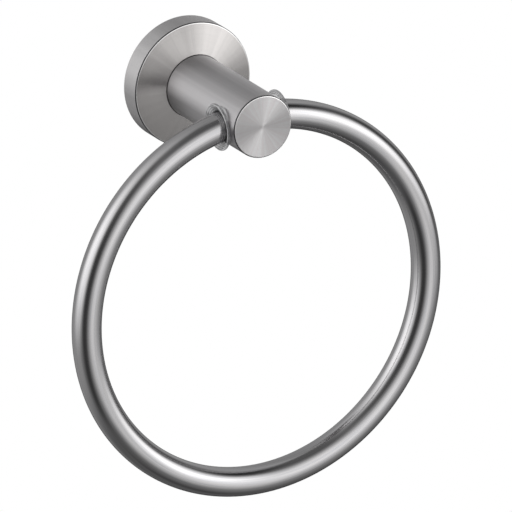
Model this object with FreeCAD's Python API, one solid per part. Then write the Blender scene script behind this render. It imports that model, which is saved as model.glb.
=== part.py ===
import FreeCAD, Part
import math
import os

# Towel ring for a bathroom wall: a round cup-shaped flange hides a wall
# bracket, a solid round post stands out from it, and an open hoop of bent
# tube is sprung into a blind hole on each side of the post, where two
# flanged clear bushings let it swing.
#
# Frame, in millimetres: the wall is the plane Y = 0 and the object stands in
# front of it, towards -Y. +Z is up and +X is to the right for someone who
# faces the wall. The origin is on the post's axis, at the wall.
# "Reach" below is a distance out from the wall, so a reach of s is Y = -s.

# Flange: a turned cup with its open side on the wall. Its face is a shallow
# cone, which rises by the crown from the rim's edge to the post.
flange_radius = 25.0
flange_depth = 9.6
flange_crown = 2.4
flange_rim = 2.5
flange_face = 2.5
flange_chamfer = 0.35
flange_register = 0.5

# Post: a turned bar, screwed to the flange from behind
post_radius = 12.5
post_reach = 66.0
post_chamfer = 0.4
post_fit = 0.04

# Hoop: a ring of bent round tube, left open, with both ends inside the post
hoop_radius = 74.0
hoop_reach = 54.0
hoop_top = 0.0
tube_radius = 5.75
tube_wall = 1.0

# Bushings: flanged sleeves that line the post's two blind holes
sleeve_inner_end = 7.5
sleeve_wall = 1.0
sleeve_fit = 0.05
lip_radius = 9.2
lip_thickness = 1.2
lip_chamfer = 0.4
lip_land = 0.4
lip_seat = 0.05
mouth_depth = 1.2
swing_clearance = 0.3

# Web of metal left between the two blind holes, which stops the hoop from
# sliding round through the post
web_thickness = 5.0
end_play = 0.6

# Post screw: from inside the flange into the post's tapped hole
post_screw_radius = 3.0
post_screw_length = 12.0
post_screw_head_radius = 5.0
post_screw_head_height = 3.0
post_screw_key = 4.0
post_screw_key_depth = 1.8
tapping_spare = 3.0
drill_half_angle = 59.0
thread_fit = 0.05

# Wall bracket: a strip with both ends bent out towards the room
bracket_width = 16.0
bracket_thickness = 2.0
bracket_bend = 1.0
bracket_fit = 0.3
bracket_hole_radius = 2.3
bracket_hole_spacing = 22.0
tab_corner = 1.5

# Set screw: up through the bottom of the flange's rim on to the lower tab
set_screw_radius = 2.0
set_screw_recess = 0.3
set_screw_point = 0.5
set_screw_key = 2.0
set_screw_key_depth = 1.6

# How far a cutting tool runs past the face that it cuts through
cut_margin = 1.0


# Worked out from the sizes above

def hoop_height(radius, x):
    """Height of a circle about the hoop's centre, at a distance x from it."""
    return hoop_top - hoop_radius + math.sqrt(radius ** 2 - x ** 2)


# The swing axis is where the bent tube needs the smallest straight bore: its
# back touches first at the sleeve's inner end, its belly at the outer face.
lip_inner_face = post_radius + lip_seat
lip_outer_face = lip_inner_face + lip_thickness
tube_high = hoop_height(hoop_radius + tube_radius, sleeve_inner_end)
tube_low = hoop_height(hoop_radius - tube_radius, lip_outer_face)
swing_height = (tube_high + tube_low) / 2
bore_radius = (tube_high - tube_low) / 2 + swing_clearance
sleeve_radius = bore_radius + sleeve_wall
post_hole_radius = sleeve_radius + sleeve_fit

pocket_radius = flange_radius - flange_rim
pocket_depth = flange_depth - flange_face
post_back = flange_depth - flange_register
tab_reach = pocket_depth - bracket_fit
tab_face = math.sqrt((pocket_radius - bracket_fit) ** 2 - (bracket_width / 2) ** 2)
set_screw_reach = (bracket_thickness + tab_reach) / 2

RIGHT = FreeCAD.Vector(1, 0, 0)
ROOM = FreeCAD.Vector(0, -1, 0)
UP = FreeCAD.Vector(0, 0, 1)


def placed(shape, origin, direction):
    """Turn a shape made along +Z to point along direction, from origin."""
    turn = FreeCAD.Rotation(UP, direction)
    shape.Placement = FreeCAD.Placement(origin, turn)
    return shape


def turned(outline):
    """Revolve a closed outline of (radius, height) corners about the Z axis."""
    corners = [FreeCAD.Vector(radius, 0, height) for radius, height in outline]
    face = Part.Face(Part.makePolygon(corners + corners[:1]))
    return face.revolve(FreeCAD.Vector(0, 0, 0), UP, 360)


def bar(radius, start, end):
    """A cylinder about the Z axis from height start to height end."""
    return Part.makeCylinder(radius, end - start, FreeCAD.Vector(0, 0, start))


def hex_socket(across_flats, start, end):
    """A hexagonal prism about the Z axis, for cutting a key's socket."""
    corner_radius = across_flats / math.sqrt(3)
    corners = []
    for side in range(6):
        angle = math.radians(60 * side)
        corner = FreeCAD.Vector(math.cos(angle), math.sin(angle), 0) * corner_radius
        corners.append(corner + UP * start)
    face = Part.Face(Part.makePolygon(corners + corners[:1]))
    return face.extrude(UP * (end - start))


def make_flange():
    """The cup: a cone, a rim, a register for the post and two screw holes."""
    hole = post_screw_radius + thread_fit
    register = post_radius + post_fit
    cup = turned([
        (hole, pocket_depth),
        (pocket_radius, pocket_depth),
        (pocket_radius, 0),
        (flange_radius - flange_chamfer, 0),
        (flange_radius, flange_chamfer),
        (flange_radius, flange_depth - flange_chamfer),
        (flange_radius - flange_chamfer, flange_depth),
        (register, flange_depth + flange_crown),
        (register, post_back),
        (hole, post_back),
    ])
    cup = placed(cup, FreeCAD.Vector(0, 0, 0), ROOM)
    tapped = bar(set_screw_radius + thread_fit, 0, flange_radius + cut_margin)
    return cup.cut(placed(tapped, ROOM * set_screw_reach, -UP))


def make_post():
    """The bar, with a tapped hole behind and a blind hole on each side."""
    drill = post_screw_radius + thread_fit
    screw_tip = pocket_depth + post_screw_length
    drilled = screw_tip + tapping_spare
    cone_tip = drilled + drill / math.tan(math.radians(drill_half_angle))
    post = turned([
        (0, cone_tip),
        (drill, drilled),
        (drill, post_back),
        (post_radius, post_back),
        (post_radius, post_reach - post_chamfer),
        (post_radius - post_chamfer, post_reach),
        (0, post_reach),
    ])
    post = placed(post, FreeCAD.Vector(0, 0, 0), ROOM)
    for side in (RIGHT, -RIGHT):
        hole = bar(post_hole_radius, web_thickness / 2, post_radius + cut_margin)
        centre = ROOM * hoop_reach + UP * swing_height
        post = post.cut(placed(hole, centre, side))
    return post


def make_bushing(side):
    """One flanged sleeve, whose lip is dished so that the tube goes in deep."""
    land_radius = lip_radius - lip_chamfer - lip_land
    bushing = turned([
        (bore_radius, sleeve_inner_end),
        (sleeve_radius, sleeve_inner_end),
        (sleeve_radius, lip_inner_face),
        (lip_radius, lip_inner_face),
        (lip_radius, lip_outer_face - lip_chamfer),
        (lip_radius - lip_chamfer, lip_outer_face),
        (land_radius, lip_outer_face),
        (bore_radius, lip_outer_face - mouth_depth),
    ])
    return placed(bushing, ROOM * hoop_reach + UP * swing_height, side)


def make_hoop():
    """The hoop: a tube's section carried round from one end to the other."""
    half_gap = math.asin((web_thickness / 2 + end_play) / hoop_radius)
    centre = ROOM * hoop_reach + UP * (hoop_top - hoop_radius)
    outwards = RIGHT * math.sin(half_gap) + UP * math.cos(half_gap)
    along = RIGHT * math.cos(half_gap) - UP * math.sin(half_gap)
    start = centre + outwards * hoop_radius
    sweep = 360 - 2 * math.degrees(half_gap)
    hoops = []
    for radius in (tube_radius, tube_radius - tube_wall):
        section = Part.Face(Part.Wire(Part.makeCircle(radius, start, along)))
        hoops.append(section.revolve(centre, -ROOM, sweep))
    solid_bar, hollow = hoops
    return solid_bar.cut(hollow)


def make_post_screw():
    """A low-head screw whose head bears on the floor of the flange's pocket."""
    head_top = pocket_depth - post_screw_head_height
    tip = pocket_depth + post_screw_length
    screw = bar(post_screw_head_radius, head_top, pocket_depth)
    screw = screw.fuse(bar(post_screw_radius, pocket_depth, tip))
    socket = hex_socket(post_screw_key, head_top, head_top + post_screw_key_depth)
    return placed(screw.cut(socket), FreeCAD.Vector(0, 0, 0), ROOM)


def make_bracket():
    """The strip: a back plate with two screw holes, and a tab at each end."""
    back = 0
    front = -bracket_thickness
    tab_end = -tab_reach
    inner_face = tab_face - bracket_thickness
    outline = [
        (back, -tab_face),
        (back, tab_face),
        (tab_end, tab_face),
        (tab_end, inner_face),
        (front, inner_face),
        (front, -inner_face),
        (tab_end, -inner_face),
        (tab_end, -tab_face),
    ]
    side = -bracket_width / 2
    corners = [FreeCAD.Vector(side, y, z) for y, z in outline]
    face = Part.Face(Part.makePolygon(corners + corners[:1]))
    bracket = face.extrude(RIGHT * bracket_width)

    bends = {tab_face: (back, bracket_bend + bracket_thickness)}
    bends[inner_face] = (front, bracket_bend)
    for height, (y, radius) in bends.items():
        edges = edges_through(bracket, y, height)
        bracket = bracket.makeFillet(radius, edges)
    bracket = bracket.makeFillet(tab_corner, tab_corners(bracket, tab_end))

    for height in (-bracket_hole_spacing / 2, bracket_hole_spacing / 2):
        hole = bar(bracket_hole_radius, -cut_margin, bracket_thickness + cut_margin)
        bracket = bracket.cut(placed(hole, UP * height, ROOM))
    return bracket


def edges_through(shape, y, height):
    """The edges along X at this Y, at this height above or below the axis."""
    found = []
    for edge in shape.Edges:
        box = edge.BoundBox
        if box.XLength > bracket_width / 2 and abs(box.YMin - y) < 1e-6:
            if abs(abs(box.ZMin) - height) < 1e-6 and box.ZLength < 1e-6:
                found.append(edge)
    return found


def tab_corners(shape, tab_end):
    """The four short edges across the tabs' free corners."""
    found = []
    for edge in shape.Edges:
        box = edge.BoundBox
        if abs(box.YMin - tab_end) < 1e-6 and box.YLength < 1e-6:
            if box.XLength < 1e-6 and box.ZLength > bracket_thickness / 2:
                found.append(edge)
    return found


def make_set_screw():
    """A headless screw from just inside the rim to the lower tab's face."""
    start = tab_face
    end = flange_radius - set_screw_recess
    screw = turned([
        (0, start),
        (set_screw_radius - set_screw_point, start),
        (set_screw_radius, start + set_screw_point),
        (set_screw_radius, end),
        (0, end),
    ])
    screw = screw.cut(hex_socket(set_screw_key, end - set_screw_key_depth, end))
    return placed(screw, ROOM * set_screw_reach, -UP)


pieces = {
    "wall_flange": make_flange(),
    "post": make_post(),
    "towel_hoop": make_hoop(),
    "bushing_left": make_bushing(-RIGHT),
    "bushing_right": make_bushing(RIGHT),
    "post_screw": make_post_screw(),
    "wall_bracket": make_bracket(),
    "set_screw": make_set_screw(),
}

os.makedirs("parts", exist_ok=True)
for name, shape in pieces.items():
    shape.exportStep("parts/" + name + ".step")
    print(name, "valid", shape.isValid(), "volume", round(shape.Volume, 1))
print("swing axis at height", round(swing_height, 4), "reach", hoop_reach)
print("bore radius", round(bore_radius, 3), "post hole radius", round(post_hole_radius, 3))
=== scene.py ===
import math

import bmesh
import bpy
import numpy as np
from mathutils import Matrix, Vector


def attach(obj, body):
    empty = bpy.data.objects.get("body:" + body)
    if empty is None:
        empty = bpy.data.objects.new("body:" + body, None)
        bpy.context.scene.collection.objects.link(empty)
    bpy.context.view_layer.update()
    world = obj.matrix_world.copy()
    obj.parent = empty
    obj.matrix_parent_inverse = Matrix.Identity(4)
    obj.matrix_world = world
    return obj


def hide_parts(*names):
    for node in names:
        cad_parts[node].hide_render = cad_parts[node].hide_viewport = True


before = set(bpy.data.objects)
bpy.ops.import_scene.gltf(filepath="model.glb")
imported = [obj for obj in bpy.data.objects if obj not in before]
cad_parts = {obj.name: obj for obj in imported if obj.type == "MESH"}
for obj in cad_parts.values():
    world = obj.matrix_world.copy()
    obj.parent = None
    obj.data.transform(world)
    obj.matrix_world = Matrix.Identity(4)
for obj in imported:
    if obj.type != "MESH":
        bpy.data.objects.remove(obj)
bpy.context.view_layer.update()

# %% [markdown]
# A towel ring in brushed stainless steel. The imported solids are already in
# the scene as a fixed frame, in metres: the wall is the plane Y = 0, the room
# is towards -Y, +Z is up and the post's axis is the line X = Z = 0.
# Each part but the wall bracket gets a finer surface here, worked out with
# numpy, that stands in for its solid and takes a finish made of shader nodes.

# %% [markdown]
# These are the sizes the maker's drawing would give, in millimetres. They
# repeat the solids' own sizes, so every surface lands where its solid is, and
# only the rounding of the edges is finer here.
# "Reach" is a distance out from the wall, so a reach of s is at Y = -s.
# The hoop's tube is bent and its bushings are straight, so the swing axis and
# the bore are worked out from where the tube comes nearest to the sleeve.

# %% Sizes
MM = 0.001

flange_radius = 25.0
flange_depth = 9.6
flange_crown = 2.4
flange_wall = 2.5
flange_chamfer = 0.35
pocket_radius = flange_radius - flange_wall
pocket_depth = flange_depth - flange_wall
register_depth = 0.5
edge_round = 0.65

post_radius = 12.5
post_reach = 66.0
post_fit = 0.04
back_chamfer = 0.15
post_back = flange_depth - register_depth
register_radius = post_radius + post_fit

hoop_radius = 74.0
hoop_reach = 54.0
tube_radius = 5.75
tube_wall = 1.0
web_half = 2.5
end_play = 0.6
hoop_end = web_half + end_play

sleeve_end = 7.5
sleeve_wall = 1.0
sleeve_fit = 0.05
swing_clearance = 0.3
lip_seat = 0.05
lip_thickness = 1.2
lip_inner = post_radius + lip_seat
lip_outer = lip_inner + lip_thickness
lip_radius = 9.2
land_radius = lip_radius - 0.8

screw_radius = 3.0
screw_length = 12.0
screw_head_height = 3.0
screw_tip = pocket_depth + screw_length
set_radius = 2.0
set_recess = 0.3
thread_fit = 0.05
bracket_thickness = 2.0
bracket_fit = 0.3
set_reach = (bracket_thickness + pocket_depth - bracket_fit) / 2


def hoop_height(radius, x):
    """Height of a circle about the hoop's centre, at a distance x from it."""
    return math.sqrt(radius ** 2 - x ** 2) - hoop_radius


tube_high = hoop_height(hoop_radius + tube_radius, sleeve_end)
tube_low = hoop_height(hoop_radius - tube_radius, lip_outer)
swing_height = (tube_high + tube_low) / 2
bore_radius = (tube_high - tube_low) / 2 + swing_clearance
sleeve_radius = bore_radius + sleeve_wall
hole_radius = sleeve_radius + sleeve_fit
print("swing axis at height", round(swing_height, 4), "bore radius", round(bore_radius, 3))

# %% [markdown]
# The camera of a product photo stands far away with a long lens, which keeps
# the round parts' ellipses nearly as they are in a drawing. Its place was
# found by fitting the hoop, the flange and the post's end to their outlines:
# 27.5 degrees to the left, 21 degrees above and leaning 2.9 degrees.

# %% Camera
azimuth = math.radians(-27.53)
elevation = math.radians(21.12)
roll = math.radians(-2.86)
distance = 7.0
aim = Vector((13.0, -30.0, -67.2)) * MM
back = Vector((math.sin(azimuth) * math.cos(elevation),
               -math.cos(azimuth) * math.cos(elevation),
               math.sin(elevation)))
right = (-back).cross(Vector((0, 0, 1))).normalized()
up = right.cross(-back)
lens_right = right * math.cos(roll) + up * math.sin(roll)
lens_up = up * math.cos(roll) - right * math.sin(roll)

camera = bpy.data.objects.new("camera", bpy.data.cameras.new("camera"))
bpy.context.scene.collection.objects.link(camera)
turn = Matrix((lens_right, lens_up, back)).transposed()
camera.matrix_world = Matrix.Translation(aim + back * distance) @ turn.to_4x4()
camera.data.sensor_width = 36
camera.data.lens = 1279
camera.data.clip_start, camera.data.clip_end = 0.1, 30
bpy.context.scene.camera = camera
bpy.context.scene.view_settings.view_transform = "Standard"
print("camera at", [round(v, 3) for v in camera.matrix_world.translation])

# %% [markdown]
# Shader nodes are easier to read when each is one short call. `maths` and
# `vector_maths` make a Math and a Vector Math node, and `between` a smooth step
# that goes from 0 to 1 between two values. All of them take numbers or the
# outputs of other nodes.

# %% Helpers for shader nodes
def feed(tree, socket, value):
    """Join an output to this input, or set it when the value is a constant."""
    if isinstance(value, bpy.types.NodeSocket):
        tree.links.new(value, socket)
    else:
        socket.default_value = value


def maths(tree, operation, *values):
    """One Math node on one to three values; gives its output."""
    node = tree.nodes.new("ShaderNodeMath")
    node.operation = operation
    for socket, value in zip(node.inputs, values):
        feed(tree, socket, value)
    return node.outputs[0]


def vector_maths(tree, operation, first, second=None):
    """One Vector Math node on one or two vectors; gives its output."""
    node = tree.nodes.new("ShaderNodeVectorMath")
    node.operation = operation
    feed(tree, node.inputs[0], first)
    if second is not None:
        feed(tree, node.inputs["Scale" if operation == "SCALE" else 1], second)
    return node.outputs[0]


def between(tree, value, start, end, low=0.0, high=1.0):
    """A smooth step: low where value is at start, high where it is at end."""
    node = tree.nodes.new("ShaderNodeMapRange")
    node.interpolation_type = "SMOOTHSTEP"
    for name, number in (("Value", value), ("From Min", start), ("From Max", end),
                         ("To Min", low), ("To Max", high)):
        feed(tree, node.inputs[name], number)
    return node.outputs["Result"]


# %% [markdown]
# Polished metal shows nothing but its surroundings, so the studio is the most
# of its look. The room here is a function of direction: soft pale walls and
# panels round the object, and dark cards that draw the dark lines along the
# tube. Each panel is a box in azimuth and elevation with soft edges:
# azimuth 0 is straight in front of the wall, +90 to its right. The boxes are
# placed one by one, as a photographer moves lamps, until the bright and dark
# bands lie on the tube about where they should.

# %% The studio's panels and dark cards
# name: azimuth, elevation, half width, half height, softness (degrees), level
panels = {
    # A window fills the left side, with the bright wall over and behind it.
    "left_window": (-100, 15, 30, 25, 20, 0.95),
    "upper_left_wall": (-100, 50, 50, 10, 45, 0.75),
    "back_left_wall": (-140, 20, 60, 70, 20, 0.22),
    # Soft boxes stand in front and to the right, with a sill and a table below.
    "front_box": (15, 5, 25, 30, 25, 1.0),
    "right_box": (55, 15, 20, 20, 15, 1.5),
    "right_sill": (65, -10, 20, 10, 15, 0.6),
    "back_right_wall": (120, 35, 30, 55, 30, 0.3),
    "table": (40, -35, 35, 10, 40, 0.35),
}
# name: the same, with the share of the light that the card takes away
cards = {
    "left_card": (-45, 5, 15, 55, 10, 0.6),
    "right_card": (95, 5, 15, 25, 15, 0.8),
    "top_card": (75, 45, 20, 20, 20, 0.9),
    "back_right_card": (150, -30, 30, 20, 20, 0.9),
    "low_card": (30, -80, 90, 10, 20, 0.5),
}
room_level = 0.125

world = bpy.data.worlds.new("studio")
bpy.context.scene.world = world
world.use_nodes = True
tree = world.node_tree
tree.nodes.clear()
direction = tree.nodes.new("ShaderNodeTexCoord").outputs["Generated"]
axes = tree.nodes.new("ShaderNodeSeparateXYZ")
tree.links.new(direction, axes.inputs[0])
x, y, z = axes.outputs
look_azimuth = maths(tree, "ARCTAN2", x, maths(tree, "MULTIPLY", y, -1.0))
look_elevation = maths(tree, "ARCSINE", z)


def soft_box(middle, height, half_width, half_height, soft):
    """1 inside the box and 0 outside, smooth over its softness, per direction."""
    turned_by = maths(tree, "SUBTRACT", look_azimuth, math.radians(middle))
    across = maths(tree, "ABSOLUTE", maths(tree, "WRAP", turned_by, math.pi, -math.pi))
    lifted_by = maths(tree, "SUBTRACT", look_elevation, math.radians(height))
    upright = maths(tree, "ABSOLUTE", lifted_by)
    edges = []
    for distance, half in ((across, half_width), (upright, half_height)):
        edges.append(between(tree, distance, math.radians(half + soft),
                             math.radians(half - soft)))
    return maths(tree, "MULTIPLY", *edges)


light = room_level
for *place, level in panels.values():
    light = maths(tree, "MULTIPLY_ADD", soft_box(*place), level, light)
for *place, share in cards.values():
    light = maths(tree, "MULTIPLY", light,
                  maths(tree, "MULTIPLY_ADD", soft_box(*place), -share, 1.0))
print(len(panels), "soft panels and", len(cards), "dark cards")

# %% [markdown]
# The photo's background is pure white. The world is white at a strength of 1
# for what the camera sees, directly or through clear plastic. Glossy metal
# mirrors the room with its panels and cards instead, because a white room
# would leave it without any bands, and the same room gives the plain light.

# %% White surroundings and the room's own light
rays = tree.nodes.new("ShaderNodeLightPath").outputs
mirrored = maths(tree, "MULTIPLY", rays["Is Glossy Ray"],
                 maths(tree, "SUBTRACT", 1.0, rays["Is Transmission Ray"]))
seen = maths(tree, "MAXIMUM", rays["Is Camera Ray"],
             maths(tree, "MAXIMUM", rays["Is Glossy Ray"], rays["Is Transmission Ray"]))
shown = maths(tree, "ADD", maths(tree, "MULTIPLY", light, mirrored),
              maths(tree, "SUBTRACT", 1.0, mirrored))
plain = tree.nodes.new("ShaderNodeBackground")
visible = tree.nodes.new("ShaderNodeBackground")
tree.links.new(light, plain.inputs["Color"])
tree.links.new(shown, visible.inputs["Color"])
choice = tree.nodes.new("ShaderNodeMixShader")
tree.links.new(seen, choice.inputs[0])
tree.links.new(plain.outputs[0], choice.inputs[1])
tree.links.new(visible.outputs[0], choice.inputs[2])
output = tree.nodes.new("ShaderNodeOutputWorld")
tree.links.new(choice.outputs[0], output.inputs["Surface"])
print("world nodes:", len(tree.nodes))

# %% [markdown]
# Surfaces come from grids of points. A grid's rows and columns are the two
# parameters of a shape, and each cell between four neighbours is one face.
# Grids of one piece share their border points exactly, so welding them closes
# every seam, and the last step points all faces outwards.

# %% Helpers for meshes
# Points nearer than the first are welded, and edges shorter than the second
# are taken out, both in metres.
weld_distance, speck = 2e-6, 1e-7
# Up to the first slope a face is flat, from the second on it is a side wall.
face_slope, side_slope = 13, 84


def cells(rows, columns):
    """Faces of a closed grid: each joins a point to its next row and column."""
    i, j = np.meshgrid(np.arange(rows - 1), np.arange(columns), indexing="ij")
    after = (j + 1) % columns
    corners = [i * columns + j, i * columns + after,
               (i + 1) * columns + after, (i + 1) * columns + j]
    return np.stack(corners, axis=-1).reshape(-1, 4)


def grid(points):
    """Points as (rows, columns, 3), with the faces of their grid."""
    return points.reshape(-1, 3), cells(*points.shape[:2])


def make_piece(name, surfaces, body, node, material, sharp=35.0, turning=()):
    """Weld surfaces, in mm, into one piece that stands in for its solid.

    A turned part has three finishes: the material is on its flat faces, and
    turning gives those of its side wall and of the edges between the two. The
    slopes, in degrees between a normal and the post's axis, tell them apart.
    """
    points, faces, count = [], [], 0
    for surface_points, surface_faces in surfaces:
        points.append(surface_points * MM)
        faces.append(surface_faces + count)
        count += len(surface_points)
    mesh = bpy.data.meshes.new(name)
    mesh.from_pydata(np.concatenate(points).tolist(), [],
                     np.concatenate(faces).tolist())
    work = bmesh.new()
    work.from_mesh(mesh)
    bmesh.ops.remove_doubles(work, verts=work.verts, dist=weld_distance)
    bmesh.ops.dissolve_degenerate(work, edges=work.edges, dist=speck)
    bmesh.ops.recalc_face_normals(work, faces=work.faces)
    open_edges = sum(len(edge.link_faces) != 2 for edge in work.edges)
    work.to_mesh(mesh)
    work.free()
    mesh.shade_smooth()
    mesh.set_sharp_from_angle(angle=math.radians(sharp))
    mesh.materials.append(material)
    if turning:
        side_finish, edge_finish = turning
        mesh.materials.append(side_finish)
        mesh.materials.append(edge_finish)
        normals = np.zeros(3 * len(mesh.polygons), np.float32)
        mesh.polygons.foreach_get("normal", normals)
        slope = np.degrees(np.arccos(np.clip(abs(normals[1::3]), 0, 1)))
        chosen = np.where(slope < face_slope, 0, np.where(slope > side_slope, 1, 2))
        mesh.polygons.foreach_set("material_index", chosen.astype(np.int32))
    piece = bpy.data.objects.new(name, mesh)
    bpy.context.scene.collection.objects.link(piece)
    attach(piece, body)
    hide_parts(node)
    print(name, len(mesh.polygons), "faces,", open_edges, "open edges")


def soften(corners, radii, steps=5):
    """Round a line of (radius, reach) corners, each by an arc of its own radius.

    The arc's centre is on the line that halves the corner, and its points
    turn evenly from one side of the corner to the other.
    """
    corners = np.array(corners, float)
    line = []
    for index, (corner, radius) in enumerate(zip(corners, radii)):
        if radius == 0 or index in (0, len(corners) - 1):
            line.append(corner[None])
            continue
        before = corners[index - 1] - corner
        after = corners[index + 1] - corner
        before, after = before / np.hypot(*before), after / np.hypot(*after)
        half = math.acos(np.clip(before @ after, -1, 1)) / 2
        middle = before + after
        centre = corner + middle / np.hypot(*middle) * radius / math.sin(half)
        first = corner + before * radius / math.tan(half) - centre
        last = corner + after * radius / math.tan(half) - centre
        spread = math.acos(np.clip(first @ last / radius ** 2, -1, 1))
        t = np.linspace(0, 1, steps)[:, None]
        arc = (np.sin((1 - t) * spread) * first + np.sin(t * spread) * last)
        line.append(centre + arc / math.sin(spread))
    return np.concatenate(line)


def turned(profile, origin, axis, start, steps):
    """Carry a (radius, distance) profile round an axis.

    Point = origin + distance along the axis + radius times the direction
    that turns from start, a quarter turn further being axis x start.
    """
    axis, start = np.array(axis, float), np.array(start, float)
    side = np.cross(axis, start)
    angle = np.arange(steps) * 2 * np.pi / steps
    spoke = np.cos(angle)[:, None] * start + np.sin(angle)[:, None] * side
    radius, distance = np.array(profile, float).T
    points = (np.array(origin, float) + distance[:, None, None] * axis
              + radius[:, None, None] * spoke)
    return points


ROOM, DOWN, RIGHT = (0, -1, 0), (0, 0, -1), (1, 0, 0)

# %% [markdown]
# Turned stainless steel has fine grooves that run round the axis. Light
# spreads across grooves and stays sharp along them, which an anisotropic
# shader does from a tangent: here the direction round the axis, worked out
# from Object coordinates and turned a quarter, so that a round face shows
# bright fans from its centre. Long thin noise gives the single grooves, and
# noise that changes only with the angle gives faint rays. A pointed tool
# leaves marks that lean, so a face can have its normals turned outwards.

# %% Finish: turned and brushed steel
fine_grooves, broad_grooves = 5200.0, 900.0
bump_depth = 0.01 * MM
# Width in mm of the painted contact shadow next to a corner.
corner_shade_width = 0.5


def round_axis(tree, centre, axis):
    """Direction round an axis, cos and sin of the angle, radius and height."""
    place = tree.nodes.new("ShaderNodeTexCoord").outputs["Object"]
    split = tree.nodes.new("ShaderNodeSeparateXYZ")
    tree.links.new(vector_maths(tree, "SUBTRACT", place, centre), split.inputs[0])
    parts = {"x": split.outputs[0], "y": split.outputs[1], "z": split.outputs[2]}
    height = parts.pop(axis)
    a, b = parts.values()
    radius = maths(tree, "SQRT", maths(tree, "ADD", maths(tree, "MULTIPLY", a, a),
                                       maths(tree, "MULTIPLY", b, b)))
    radius = maths(tree, "MAXIMUM", radius, 1e-6)
    cosine = maths(tree, "DIVIDE", a, radius)
    sine = maths(tree, "DIVIDE", b, radius)
    return cosine, sine, radius, height


def vector(tree, x, y, z):
    """A vector from three numbers or outputs."""
    node = tree.nodes.new("ShaderNodeCombineXYZ")
    for socket, value in zip(node.inputs, (x, y, z)):
        feed(tree, socket, value)
    return node.outputs[0]


def noise_round(tree, cosine, sine, turns, across, detail, roughness=0.5):
    """Noise that goes round an axis with no seam, turns setting how fast."""
    place = vector(tree, maths(tree, "MULTIPLY", cosine, turns), across,
                   maths(tree, "MULTIPLY", sine, turns))
    return noise(tree, place, 1.0, detail, roughness)


def to_world(tree, direction):
    """The same direction in the world's axes, which a shader's sockets need."""
    node = tree.nodes.new("ShaderNodeVectorTransform")
    node.vector_type = "VECTOR"
    node.convert_from, node.convert_to = "OBJECT", "WORLD"
    tree.links.new(direction, node.inputs[0])
    return node.outputs[0]


def noise(tree, place, scale, detail, roughness=0.5):
    """Smooth noise about 0.5, finer at a larger scale."""
    node = tree.nodes.new("ShaderNodeTexNoise")
    tree.links.new(place, node.inputs["Vector"])
    node.inputs["Scale"].default_value = scale
    node.inputs["Detail"].default_value = detail
    node.inputs["Roughness"].default_value = roughness
    return node.outputs["Fac"]


def new_finish(name):
    """A material with one Principled shader, ready for its nodes."""
    material = bpy.data.materials.new(name)
    material.use_nodes = True
    tree = material.node_tree
    tree.nodes.clear()
    shader = tree.nodes.new("ShaderNodeBsdfPrincipled")
    output = tree.nodes.new("ShaderNodeOutputMaterial")
    tree.links.new(shader.outputs[0], output.inputs["Surface"])
    return material, tree, shader


def tint(tree, amount, dark, light):
    """A colour that goes from dark to light as amount goes from 0 to 1."""
    ramp = tree.nodes.new("ShaderNodeValToRGB")
    ramp.color_ramp.elements[0].color = (*dark, 1)
    ramp.color_ramp.elements[1].color = (*light, 1)
    tree.links.new(amount, ramp.inputs[0])
    return ramp.outputs[0]


def bump(tree, height, strength, distance):
    """A normal that shows this height as fine relief."""
    node = tree.nodes.new("ShaderNodeBump")
    node.inputs["Strength"].default_value = strength
    node.inputs["Distance"].default_value = distance
    tree.links.new(height, node.inputs["Height"])
    return node.outputs[0]


def turned_steel(name, roughness, colour, corner=None, lean=0.0):
    """Steel with grooves round the post's axis, on faces and sides alike.

    Near a corner the colour is painted dark, a painted contact shadow by the
    flange, from the reach given as corner to half a millimetre beyond.
    The marks of a pointed tool lean away from the axis: the facets that mirror
    the room are turned outwards by the slope given as lean.
    """
    material, tree, shader = new_finish(name)
    cosine, sine, radius, height = round_axis(tree, (0, 0, 0), "y")
    profile = maths(tree, "SUBTRACT", radius, height)
    fine = noise_round(tree, cosine, sine, 1.6,
                       maths(tree, "MULTIPLY", profile, fine_grooves), 2.0)
    broad = noise_round(tree, cosine, sine, 0.7,
                        maths(tree, "MULTIPLY", profile, broad_grooves), 3.0)
    rays = noise_round(tree, cosine, sine, 7.0, 0.0, 3.0, 0.6)
    grooves = maths(tree, "MULTIPLY_ADD", broad, 0.25,
                    maths(tree, "MULTIPLY", fine, 0.75))
    marks = maths(tree, "MULTIPLY_ADD", rays, 0.8,
                  maths(tree, "MULTIPLY", grooves, 0.2))
    dark = tuple(0.95 * c for c in colour)
    light = tuple(min(1.0, 1.03 * c) for c in colour)
    steel = tint(tree, between(tree, marks, 0.35, 0.65), dark, light)
    # Painted shade: near the corner the colour drops to 0.15 of itself, a painted contact
    # shadow.
    if corner is not None:
        reach = maths(tree, "MULTIPLY", height, -1.0)
        painted_corner_shade = between(tree, reach, corner * MM, (corner + corner_shade_width) * MM, 0.15, 1.0)
        steel = vector_maths(tree, "SCALE", steel, painted_corner_shade)
    tree.links.new(steel, shader.inputs["Base Color"])
    tree.links.new(between(tree, grooves, 0.3, 0.7, roughness * 1.02, roughness * 0.98),
                   shader.inputs["Roughness"])
    marked = bump(tree, fine, 0.015, bump_depth)
    if lean:
        outwards = to_world(tree, vector(tree, maths(tree, "MULTIPLY", cosine, lean), 0.0,
                                         maths(tree, "MULTIPLY", sine, lean)))
        marked = vector_maths(tree, "NORMALIZE",
                              vector_maths(tree, "ADD", marked, outwards))
    tree.links.new(marked, shader.inputs["Normal"])
    shader.inputs["Metallic"].default_value = 1.0
    shader.inputs["Anisotropic"].default_value = 1.0
    shader.inputs["Anisotropic Rotation"].default_value = 0.25
    round_it = vector(tree, maths(tree, "MULTIPLY", sine, -1.0), 0.0, cosine)
    tree.links.new(to_world(tree, round_it), shader.inputs["Tangent"])
    return material


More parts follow.
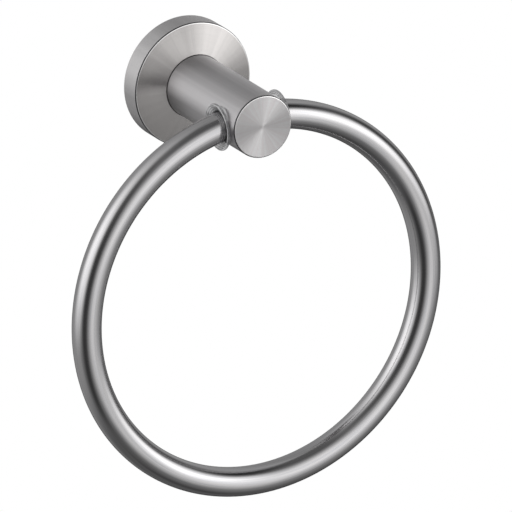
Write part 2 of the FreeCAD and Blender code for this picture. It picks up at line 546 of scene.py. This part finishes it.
# These four are one steel. Their colours are painted lighter or darker to stand in for how
# light falls: the rim, the post's side and above all the post's end are painted brighter
# than the flange's face.
flange_steel = turned_steel("turned_flange_steel", 0.25, (0.59, 0.57, 0.56),
                            lean=0.14)
rim_steel_painted_lighter = turned_steel("turned_rim_steel", 0.26, (0.80, 0.785, 0.79))
cap_steel_painted_lighter = turned_steel("turned_cap_steel", 0.52, (1.0, 0.967, 0.97))
# The post's side gets a painted contact shadow where it meets the flange's face.
post_steel_painted_light_and_shade = turned_steel("turned_post_steel", 0.29, (0.73, 0.715, 0.725),
                          corner=flange_depth + flange_crown)

# %% [markdown]
# The edges between faces and side walls are rounded with a fine tool, which
# leaves them smooth. Their colour holds painted light: the half of the rounding
# turned along the axis is painted near white, a painted highlight that makes the
# thin light line inside each face's outline, and the outer half is painted near
# black, a painted dark reflection seen as a thin dark line.

# %% Finish: rounded edges
rounded_edge, tree, shader = new_finish("rounded_edge_steel")
cosine, sine, radius, height = round_axis(tree, (0, 0, 0), "y")
nicks = noise_round(tree, cosine, sine, 6.0, maths(tree, "MULTIPLY", radius, 500.0), 2.0)
facing = tree.nodes.new("ShaderNodeSeparateXYZ")
object_normal = tree.nodes.new("ShaderNodeTexCoord").outputs["Normal"]
tree.links.new(object_normal, facing.inputs[0])
towards_room = maths(tree, "ABSOLUTE", facing.outputs[1])
# Painted light: faces turned along the axis are painted near white (painted highlight),
# faces turned outwards near black (painted dark reflection); the nicks add a little noise.
nicks_and_painted_edge_light = maths(tree, "MULTIPLY_ADD", nicks, 0.1, towards_room)
tree.links.new(tint(tree, between(tree, nicks_and_painted_edge_light, 0.74, 0.90), (0.06, 0.06, 0.065),
                    (0.95, 0.94, 0.94)), shader.inputs["Base Color"])
tree.links.new(between(tree, nicks, 0.3, 0.7, 0.20, 0.28), shader.inputs["Roughness"])
shader.inputs["Metallic"].default_value = 1.0

# %% [markdown]
# The hoop's tube is satin-polished so finely that it is nearly a mirror. The
# last polishing belt leaves faint lines along the tube, drawn here by noise
# that changes quickly across the tube and slowly along it. A fine even grain
# over them softens what the tube mirrors.

# %% Finish: satin tube
belt_lines = 2600.0


def satin_tube(name, roughness, colour):
    """Nearly mirror-bright steel with faint lines along the hoop's tube."""
    material, tree, shader = new_finish(name)
    centre = (0, -hoop_reach * MM, -hoop_radius * MM)
    cosine, sine, radius, height = round_axis(tree, centre, "y")
    lines = noise(tree, vector(
        tree,
        maths(tree, "MULTIPLY_ADD", cosine, 2.5,
              maths(tree, "MULTIPLY", height, belt_lines)),
        maths(tree, "MULTIPLY", radius, belt_lines),
        maths(tree, "MULTIPLY", sine, 2.5)), 1.0, 3.0)
    place = tree.nodes.new("ShaderNodeTexCoord").outputs["Object"]
    grain = noise(tree, place, belt_lines, 2.0, 0.7)
    dark = (0.88 * colour[0], 0.89 * colour[1], 0.91 * colour[2])
    tree.links.new(tint(tree, between(tree, lines, 0.3, 0.6), dark, colour),
                   shader.inputs["Base Color"])
    tree.links.new(between(tree, grain, 0.3, 0.7, roughness * 0.85, roughness * 1.15),
                   shader.inputs["Roughness"])
    satin = maths(tree, "MULTIPLY_ADD", grain, 0.6, maths(tree, "MULTIPLY", lines, 0.4))
    tree.links.new(bump(tree, satin, 0.06, bump_depth), shader.inputs["Normal"])
    shader.inputs["Metallic"].default_value = 1.0
    return material


satin_steel = satin_tube("satin_tube_steel", 0.15, (0.63, 0.62, 0.625))

# %% [markdown]
# Bright zinc plating on the hidden bracket and screws is a little blue, with
# small crystal-like patches that differ in shine. The bracket keeps the
# solid's own mesh, and only takes this finish.

# %% Finish: zinc plating
zinc, tree, shader = new_finish("bright_zinc")
place = tree.nodes.new("ShaderNodeTexCoord").outputs["Object"]
patches = tree.nodes.new("ShaderNodeTexVoronoi")
patches.inputs["Scale"].default_value = 900.0
tree.links.new(place, patches.inputs["Vector"])
grey = tree.nodes.new("ShaderNodeRGBToBW")
tree.links.new(patches.outputs["Color"], grey.inputs[0])
clouds = noise(tree, place, 220.0, 4.0)
tree.links.new(tint(tree, clouds, (0.60, 0.62, 0.65), (0.72, 0.73, 0.74)),
               shader.inputs["Base Color"])
tree.links.new(between(tree, grey.outputs[0], 0.2, 0.8, 0.30, 0.42),
               shader.inputs["Roughness"])
tree.links.new(bump(tree, clouds, 0.15, 3 * bump_depth), shader.inputs["Normal"])
shader.inputs["Metallic"].default_value = 1.0
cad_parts["wall_bracket"].data.materials.clear()
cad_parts["wall_bracket"].data.materials.append(zinc)

# %% [markdown]
# The bushings are moulded in clear plastic, slightly milky: over a third of
# what is behind shows through, and the rest is the plastic's own grey. Light
# and dark rings are painted into that grey round the swing axis, counted in from
# the lip's edge: painted reflections of the room in the bends of the clear lip.

# %% Finish: clear plastic
reflection_ring_spacing = 0.7
clear, tree, shader = new_finish("clear_moulded_plastic")
swing_centre = (0, -hoop_reach * MM, swing_height * MM)
cosine, sine, radius, height = round_axis(tree, swing_centre, "x")
from_edge = maths(tree, "SUBTRACT", lip_radius * MM, radius)
# Painted reflection: dark and light rings in the plastic's grey, every 0.7 mm in from the
# lip's edge.
painted_reflection_rings = maths(tree, "COSINE", maths(tree, "MULTIPLY", from_edge,
                                     2 * math.pi / (reflection_ring_spacing * MM)))
haze = noise(tree, tree.nodes.new("ShaderNodeTexCoord").outputs["Object"], 300.0, 2.0)
rings = maths(tree, "MULTIPLY_ADD", painted_reflection_rings, -0.23, haze)
tree.links.new(tint(tree, between(tree, rings, 0.2, 0.8), (0.15, 0.15, 0.155),
                    (0.86, 0.86, 0.87)), shader.inputs["Base Color"])
tree.links.new(between(tree, haze, 0.3, 0.7, 0.22, 0.30), shader.inputs["Roughness"])
shader.inputs["Alpha"].default_value = 0.62
shader.inputs["IOR"].default_value = 1.46

# %% [markdown]
# A round hole in a curved wall is a plate with a hole, wrapped round a
# cylinder. A block of cells is left out of the wall's grid, and rings of
# points go from the block's border in to the hole's edge. All of it is worked
# out flat, as (reach, angle), and then wrapped.

# %% A cylinder wall with round holes
def border(rows, columns):
    """Row and column of each point round the edge of a block, in order."""
    top = [(0, j) for j in range(columns)]
    side = [(i, columns - 1) for i in range(1, rows)]
    bottom = [(rows - 1, j) for j in range(columns - 2, -1, -1)]
    other = [(i, 0) for i in range(rows - 2, 0, -1)]
    return np.array(top + side + bottom + other).T


def wall_with_holes(radius, reaches, steps, start, holes, rings=10):
    """A cylinder about the post's axis, with round holes across that axis.

    A hole is (turn, reach, offset, radius, block): turn is its direction from
    start, and offset its distance sideways from that direction, both towards
    axis x start. The block is the reaches where it starts and ends, and half
    its width in cells. Gives the surfaces and each hole's edge.
    """
    reaches = np.array(reaches, float)
    rows = len(reaches)
    kept = np.ones((rows - 1, steps), bool)
    flat = np.stack(np.meshgrid(reaches, np.arange(steps) * 2 * np.pi / steps,
                                indexing="ij"), axis=-1)

    def wrapped(flat_points):
        reach, angle = flat_points[..., 0], flat_points[..., 1]
        first = np.array(start, float)
        side = np.cross(ROOM, first)
        return (radius * (np.cos(angle)[..., None] * first
                          + np.sin(angle)[..., None] * side)
                + reach[..., None] * np.array(ROOM, float))

    surfaces, edges = [], []
    for turn, reach, offset, hole, (low, high, half) in holes:
        middle = round(turn / (2 * np.pi) * steps)
        first_row = int(np.argmin(abs(reaches - low)))
        last_row = int(np.argmin(abs(reaches - high)))
        columns = np.arange(middle - half, middle + half + 1)
        kept[first_row:last_row, columns[:-1] % steps] = False
        i, j = border(last_row - first_row + 1, len(columns))
        edge_reach = reaches[first_row + i]
        edge_angle = columns[j] * 2 * np.pi / steps - turn
        around = np.arctan2(radius * np.sin(edge_angle) - offset, edge_reach - reach)
        hole_reach = reach + hole * np.cos(around)
        hole_angle = np.arcsin((offset + hole * np.sin(around)) / radius)
        t = np.linspace(0, 1, rings)[:, None]
        t = t * (2 - t)
        patch = np.stack([(1 - t) * edge_reach + t * hole_reach,
                          (1 - t) * edge_angle + t * hole_angle + turn], axis=-1)
        patch[0, :, 1] = edge_angle + turn
        points = wrapped(patch)
        surfaces.append(grid(points))
        edges.append(points[-1])
    faces = cells(rows, steps).reshape(rows - 1, steps, 4)[kept]
    surfaces.append((wrapped(flat).reshape(-1, 3), faces))
    return surfaces, edges


# %% [markdown]
# The flange is turned from bar: a cup 50 mm across whose face is a shallow
# cone, with a rounded outer edge and a recess that locates the post. A set
# screw's hole goes up through the bottom of its rim. The rim's two walls are
# grids with that hole in them, and everything else is a turned profile.

# %% Flange
steps = 256
set_hole = set_radius + thread_fit
rim_end = flange_depth - 0.7
pocket_end = pocket_depth - 0.5
outer_reaches = np.linspace(flange_chamfer, rim_end, 19)
outer_block, inner_block = (1.83, 6.5, 8), (1.89, 6.6, 8)
outer, (outer_edge,) = wall_with_holes(
    flange_radius, outer_reaches, steps, DOWN,
    [(0, set_reach, 0, set_hole, outer_block)])
inner_reaches = np.linspace(0.0, pocket_end, 15)
inner, (inner_edge,) = wall_with_holes(
    pocket_radius, inner_reaches, steps, DOWN,
    [(0, set_reach, 0, set_hole, inner_block)])

back_rim = soften([(pocket_radius, 0.0), (flange_radius - flange_chamfer, 0.0),
                   (flange_radius, flange_chamfer)], [0, 0.1, 0])
screw_hole = screw_radius + thread_fit
front = soften([
    (flange_radius, rim_end),
    (flange_radius, flange_depth),
    (register_radius, flange_depth + flange_crown),
    (register_radius, post_back),
    (screw_hole, post_back),
    (screw_hole, pocket_depth),
    (pocket_radius, pocket_depth),
    (pocket_radius, pocket_end),
], [0, edge_round, 0.3, 0.05, 0.2, 0.2, 0.5, 0], steps=9)

here = (0, 0, 0)
make_piece(
    "flange",
    outer + inner + [
        grid(np.stack([outer_edge, inner_edge])),
        grid(turned(back_rim, here, ROOM, DOWN, steps)),
        grid(turned(front, here, ROOM, DOWN, steps)),
    ],
    "wall_mount", "wall_flange", flange_steel,
    turning=(rim_steel_painted_lighter, rounded_edge))

# %% [markdown]
# The post is a solid turned bar. Its end is faced and its edge rounded, and
# each side has a deep blind hole for a bushing. A web of metal is left between
# the two holes. A tapped hole behind, drilled with a pointed bit, takes the
# post's screw.

# %% Post
side_end = post_reach - 0.6
side_reaches = np.linspace(post_back + back_chamfer, side_end, 58)
hole_block = (44.5, 63.5, 36)
side, hole_edges = wall_with_holes(
    post_radius, side_reaches, steps, RIGHT,
    [(0, hoop_reach, swing_height, hole_radius, hole_block),
     (math.pi, hoop_reach, -swing_height, hole_radius, hole_block)], rings=14)

blind_holes = []
for direction, edge in zip((1, -1), hole_edges):
    deep = edge.copy()
    deep[:, 0] = direction * web_half
    middle = np.broadcast_to((direction * web_half, -hoop_reach, swing_height),
                             edge.shape)
    blind_holes.append(grid(np.stack([edge, deep, middle])))

end_face = soften([(post_radius, side_end), (post_radius, post_reach), (0, post_reach)],
                  [0, edge_round, 0], steps=9)
tapping_spare, drill_half_angle = 3.0, math.radians(59)
drilled = screw_tip + tapping_spare
drill_point = drilled + screw_hole / math.tan(drill_half_angle)
back_face = [
    (0, drill_point),
    (screw_hole, drilled),
    (screw_hole, post_back),
    (post_radius - back_chamfer, post_back),
    (post_radius, post_back + back_chamfer),
]
make_piece(
    "post_bar",
    side + blind_holes + [
        grid(turned(end_face, here, ROOM, RIGHT, steps)),
        grid(turned(back_face, here, ROOM, RIGHT, steps)),
    ],
    "wall_mount", "post", cap_steel_painted_lighter,
    turning=(post_steel_painted_light_and_shade, rounded_edge))

# %% [markdown]
# The hoop is one bent tube. A circle is carried round a larger circle, from
# one end inside the post to the other. A second, smaller circle gives the
# inside of the tube, and flat rings join the two at the ends.

# %% Hoop
def tube_about_hoop(radius, rows, columns):
    """Point = hoop's centre + (hoop radius + radius cos b) outwards at turn a
    + radius sin b towards the room, for a along the hoop and b round the tube."""
    half_gap = math.asin(hoop_end / hoop_radius)
    a = np.linspace(half_gap, 2 * np.pi - half_gap, rows)[:, None]
    b = (np.arange(columns) * 2 * np.pi / columns)[None]
    out = hoop_radius + radius * np.cos(b)
    return np.stack([out * np.sin(a),
                     -hoop_reach - radius * np.sin(b) + 0 * a,
                     out * np.cos(a) - hoop_radius], axis=-1)


round_tube = 96
skin = tube_about_hoop(tube_radius, 640, round_tube)
bore = tube_about_hoop(tube_radius - tube_wall, 120, round_tube)
make_piece(
    "hoop",
    [grid(skin), grid(bore),
     grid(np.stack([skin[0], bore[0]])), grid(np.stack([skin[-1], bore[-1]]))],
    "hoop", "towel_hoop", satin_steel)

# %% [markdown]
# Each bushing is a short sleeve with a dished lip, turned round the swing axis.
# Moulded corners are never sharp, so every corner is rounded.

# %% Bushings
sleeve_middle = 10.5
sleeve = soften([
    (bore_radius, sleeve_middle),
    (bore_radius, sleeve_end),
    (sleeve_radius, sleeve_end),
    (sleeve_radius, lip_inner),
    (lip_radius, lip_inner),
    (lip_radius, lip_outer),
    (land_radius, lip_outer),
    (bore_radius, lip_inner),
    (bore_radius, sleeve_middle),
], [0, 0.3, 0.2, 0.15, 0.3, 0.45, 0.3, 0.3, 0], steps=8)
on_swing_axis = (0, -hoop_reach, swing_height)
for name, outwards in (("right", 1), ("left", -1)):
    shape = turned(sleeve, on_swing_axis, (outwards, 0, 0), (0, 0, 1), 128)
    make_piece("clear_bushing_" + name, [grid(shape)], "wall_mount",
               "bushing_" + name, clear, sharp=60.0)

# %% [markdown]
# A screw is one surface too: its radius is a function of the turn and of the
# distance along it. The thread is a wave that climbs one pitch a turn, and the
# socket is the same surface going back in, with a six-sided outline.

# %% Screws
def screw(origin, axis, start, head, body, tip, head_radius, radius, pitch, key,
          key_depth, steps=48, cup=0.0):
    """Rows of rings from the socket's floor, over the head, to the tip.

    Thread radius = radius - depth x (distance of (length / pitch - turn)
    from the nearest whole number), which climbs one pitch in one turn.
    """
    way = 1 if tip > head else -1
    turn = np.arange(steps) / steps
    six = (turn * 6 + 0.5) % 1 - 0.5
    socket = key / 2 / np.cos(np.abs(np.abs(six) - 0.5) * np.pi / 3)
    ring = np.ones(steps)
    depth = 0.6 * pitch
    along = np.arange(body + way * 0.3 * pitch, tip - way * 0.6 * pitch,
                      way * pitch / 8)
    climb = along[:, None] / pitch - turn
    wave = np.abs(climb - np.round(climb)) * 2
    fade = np.clip(np.minimum(abs(along - body), abs(tip - along)) / pitch, 0, 1)
    thread = radius - depth * wave * fade[:, None]
    edge = 0.12 * head_radius
    rows = [
        (0 * ring, head + way * (key_depth + 0.2 * key)),
        (socket * 0.97, head + way * key_depth),
        (socket, head + way * 0.1 * key),
        (socket + 0.08 * key, head),
        ((head_radius - edge) * ring, head),
        ((head_radius - 0.3 * edge) * ring, head + way * 0.3 * edge),
        (head_radius * ring, head + way * edge),
        (head_radius * ring, body),
        (radius * ring, body),
    ]
    rows += list(zip(thread, along))
    rows += [
        ((radius - depth) * ring, tip),
        ((radius - depth) * 0.55 * ring, tip),
        (0 * ring, tip - way * cup),
    ]
    radii = np.array([row[0] for row in rows])
    distances = np.array([row[1] for row in rows])
    axis, start = np.array(axis, float), np.array(start, float)
    spoke = (np.cos(2 * np.pi * turn)[:, None] * start
             + np.sin(2 * np.pi * turn)[:, None] * np.cross(axis, start))
    return (np.array(origin, float) + distances[:, None, None] * axis
            + radii[..., None] * spoke)


post_screw = screw(here, ROOM, RIGHT, head=pocket_depth - screw_head_height,
                   body=pocket_depth, tip=screw_tip, head_radius=5.0,
                   radius=screw_radius, pitch=1.0, key=4.0, key_depth=1.8)
make_piece("post_cap_screw", [grid(post_screw)], "wall_mount", "post_screw",
           zinc)
set_head = flange_radius - set_recess
set_screw = screw((0, -set_reach, 0), DOWN, RIGHT, head=set_head, body=24.4, tip=20.72,
                  head_radius=set_radius, radius=set_radius, pitch=0.7, key=2.0,
                  key_depth=1.6, cup=-0.5)
make_piece("rim_set_screw", [grid(set_screw)], "wall_mount", "set_screw",
           zinc)

# %% [markdown]
# The floor lies well below the hoop, so that its soft shadow stays out of the
# photo's view. It is a pale round sheet that fades out into the white room.

# %% Floor
floor_height, floor_centre = -0.30, -0.03
rings, spokes = 12, 96
radius = np.linspace(0, 0.32, rings)[:, None]
angle = (np.arange(spokes) * 2 * np.pi / spokes)[None]
floor_points = np.stack([radius * np.cos(angle), radius * np.sin(angle) + floor_centre,
                         0 * radius * angle + floor_height], axis=-1)
floor_mesh = bpy.data.meshes.new("floor")
floor_mesh.from_pydata(floor_points.reshape(-1, 3).tolist(), [],
                       cells(rings, spokes)[:, ::-1].tolist())
floor = bpy.data.objects.new("floor", floor_mesh)
bpy.context.scene.collection.objects.link(floor)
floor.visible_glossy = False

pale, tree, shader = new_finish("pale_floor")
shader.inputs["Base Color"].default_value = (0.86, 0.86, 0.86, 1)
shader.inputs["Roughness"].default_value = 0.9
shader.inputs["Specular IOR Level"].default_value = 0.1
cosine, sine, radius, height = round_axis(tree, (0, floor_centre, 0), "z")
clear_air = tree.nodes.new("ShaderNodeBsdfTransparent")
blend = tree.nodes.new("ShaderNodeMixShader")
tree.links.new(between(tree, radius, 0.17, 0.31), blend.inputs[0])
tree.links.new(shader.outputs[0], blend.inputs[1])
tree.links.new(clear_air.outputs[0], blend.inputs[2])
for node in tree.nodes:
    if node.type == "OUTPUT_MATERIAL":
        tree.links.new(blend.outputs[0], node.inputs["Surface"])
floor_mesh.materials.append(pale)

# %% [markdown]
# Two large soft lamps bring everything that is not metal up to its written
# colour. They don't show in glossy surfaces: there the room's panels are the
# only lights.

# %% Lamps
def soft_lamp(name, place, target, size, power):
    """A round lamp at place, turned to target, which metal doesn't mirror."""
    data = bpy.data.lights.new(name, "AREA")
    data.shape, data.size, data.energy = "DISK", size, power
    lamp = bpy.data.objects.new(name, data)
    bpy.context.scene.collection.objects.link(lamp)
    towards = Vector(target) - Vector(place)
    lamp.matrix_world = (Matrix.Translation(place)
                         @ towards.to_track_quat("-Z", "Y").to_matrix().to_4x4())
    lamp.visible_glossy = False
    lamp.visible_camera = False
    lamp.visible_transmission = False


soft_lamp("lamp_above", (-0.3, -0.5, 1.4), (0, -0.03, -0.1), 1.2, 9.0)
soft_lamp("lamp_front", (-0.6, -1.6, 0.3), (0, -0.03, -0.07), 1.2, 8.0)
